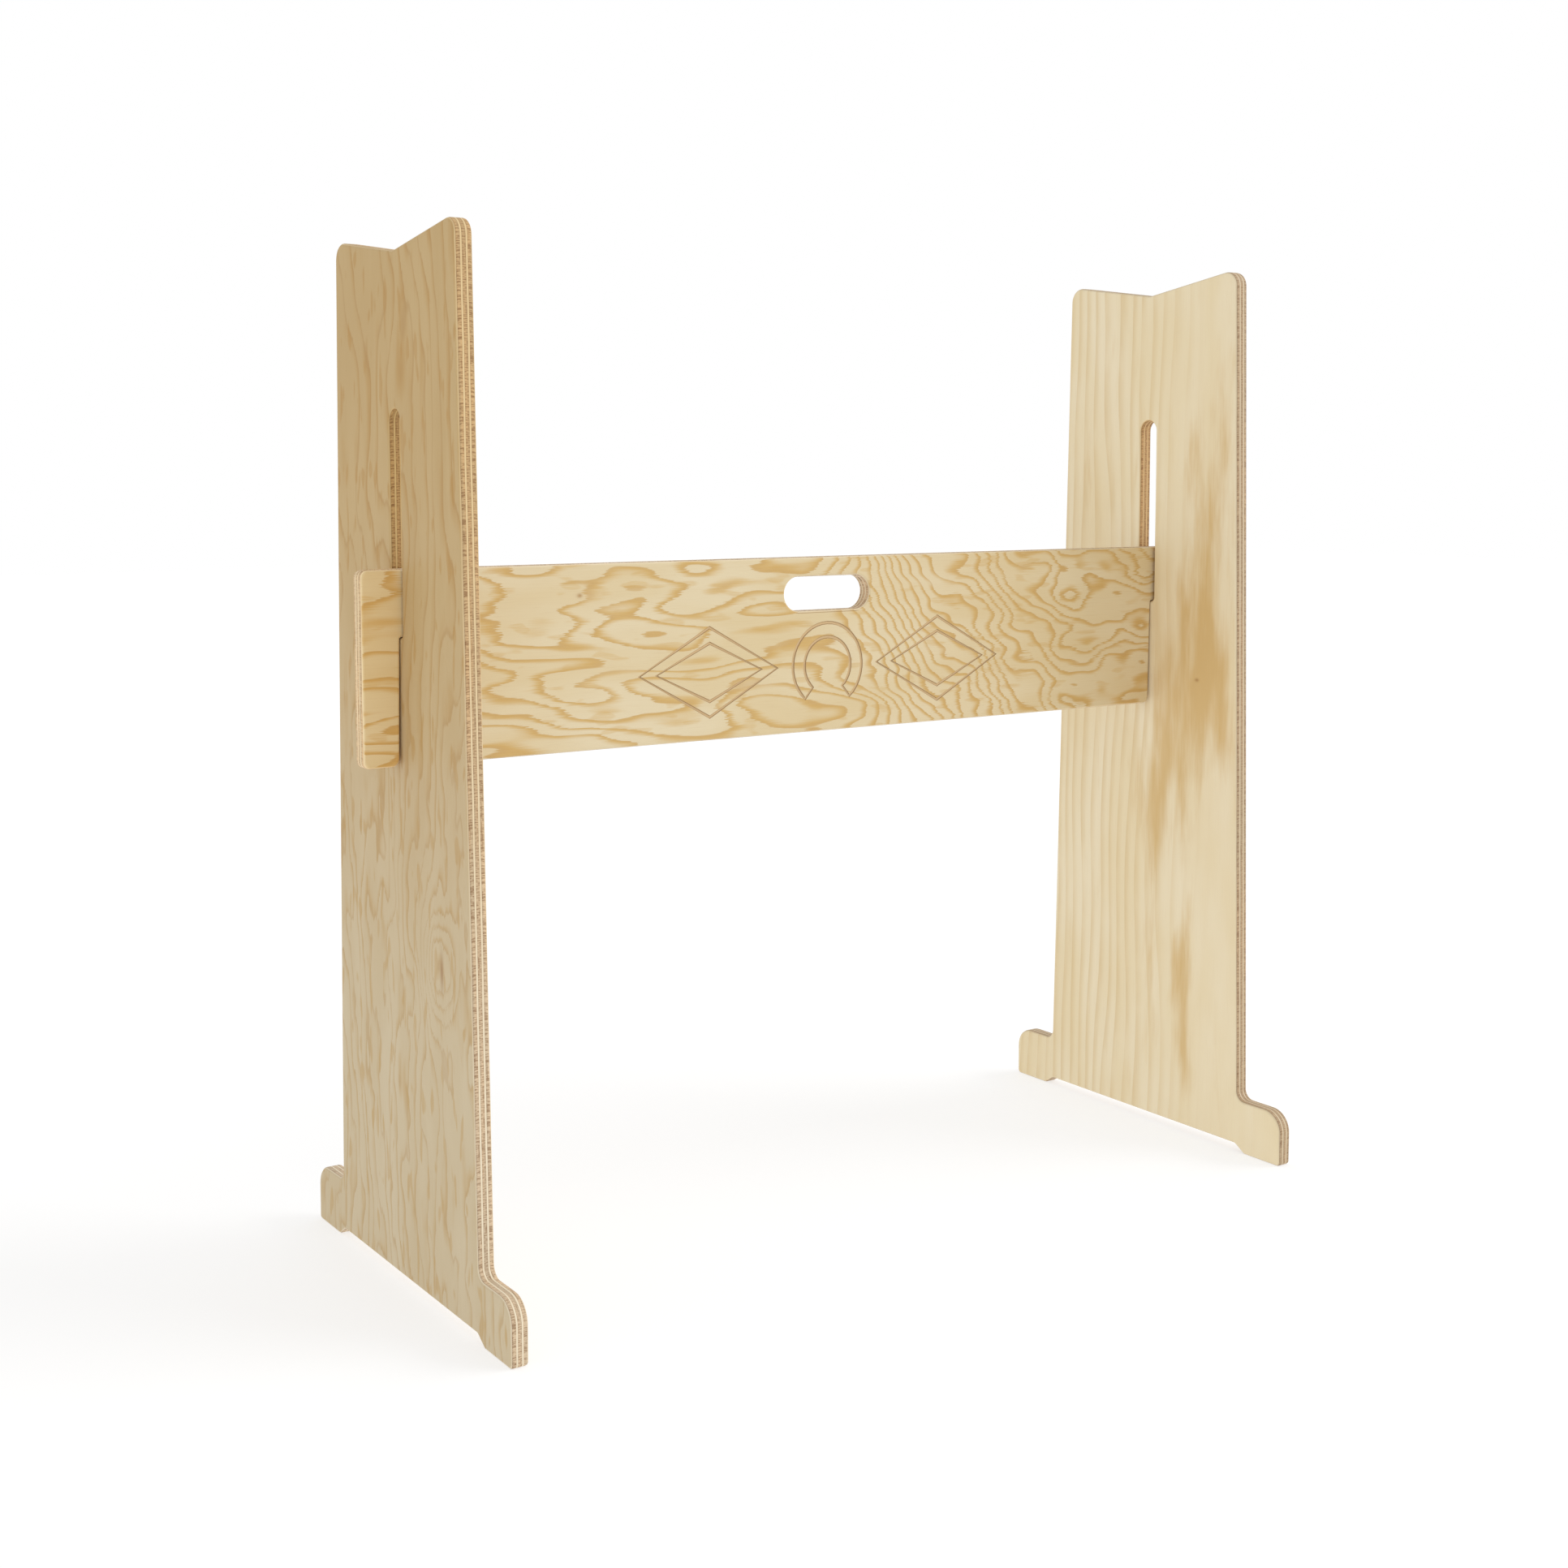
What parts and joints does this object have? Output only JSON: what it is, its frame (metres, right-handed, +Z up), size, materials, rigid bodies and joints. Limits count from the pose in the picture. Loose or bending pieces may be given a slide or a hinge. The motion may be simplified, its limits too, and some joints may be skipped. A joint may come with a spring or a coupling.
{
  "type": "saddle rack",
  "caption": "Free-standing plywood rack: V-topped uprights on spread feet, held apart by a drop-in notched crossbar with a hand hole.",
  "frame": {"origin": "on the floor, under the middle of the crossbar, midway between the uprights and midway across them", "axes": "+Z up, +X along the crossbar to the right upright, +Y across the uprights to the back; the engraved front faces -Y"},
  "size_m": [1.062, 0.434, 1.0001],
  "materials": {
    "left_upright_pine": "sanded pine plywood, clear satin",
    "right_upright_pine": "sanded pine plywood, clear satin",
    "crossbar_pine": "sanded pine plywood, clear satin"
  },
  "bodies": {
    "left_upright": {"left_upright": "left_upright_pine"},
    "crossbar": {"crossbar": "crossbar_pine"},
    "right_upright": {"right_upright": "right_upright_pine"}
  },
  "joints": [
    {"name": "crossbar_lift", "type": "slide", "parent": "left_upright", "child": "crossbar", "axis": [0, 0, 1], "range_m": [0, 0.144]},
    {"name": "right_upright_drop", "type": "slide", "parent": "crossbar", "child": "right_upright", "axis": [0, 0, -1], "range_m": [0, 0.144]}
  ],
  "couplings": [
    {"joint": "right_upright_drop", "follows": "crossbar_lift", "ratio": 1}
  ]
}
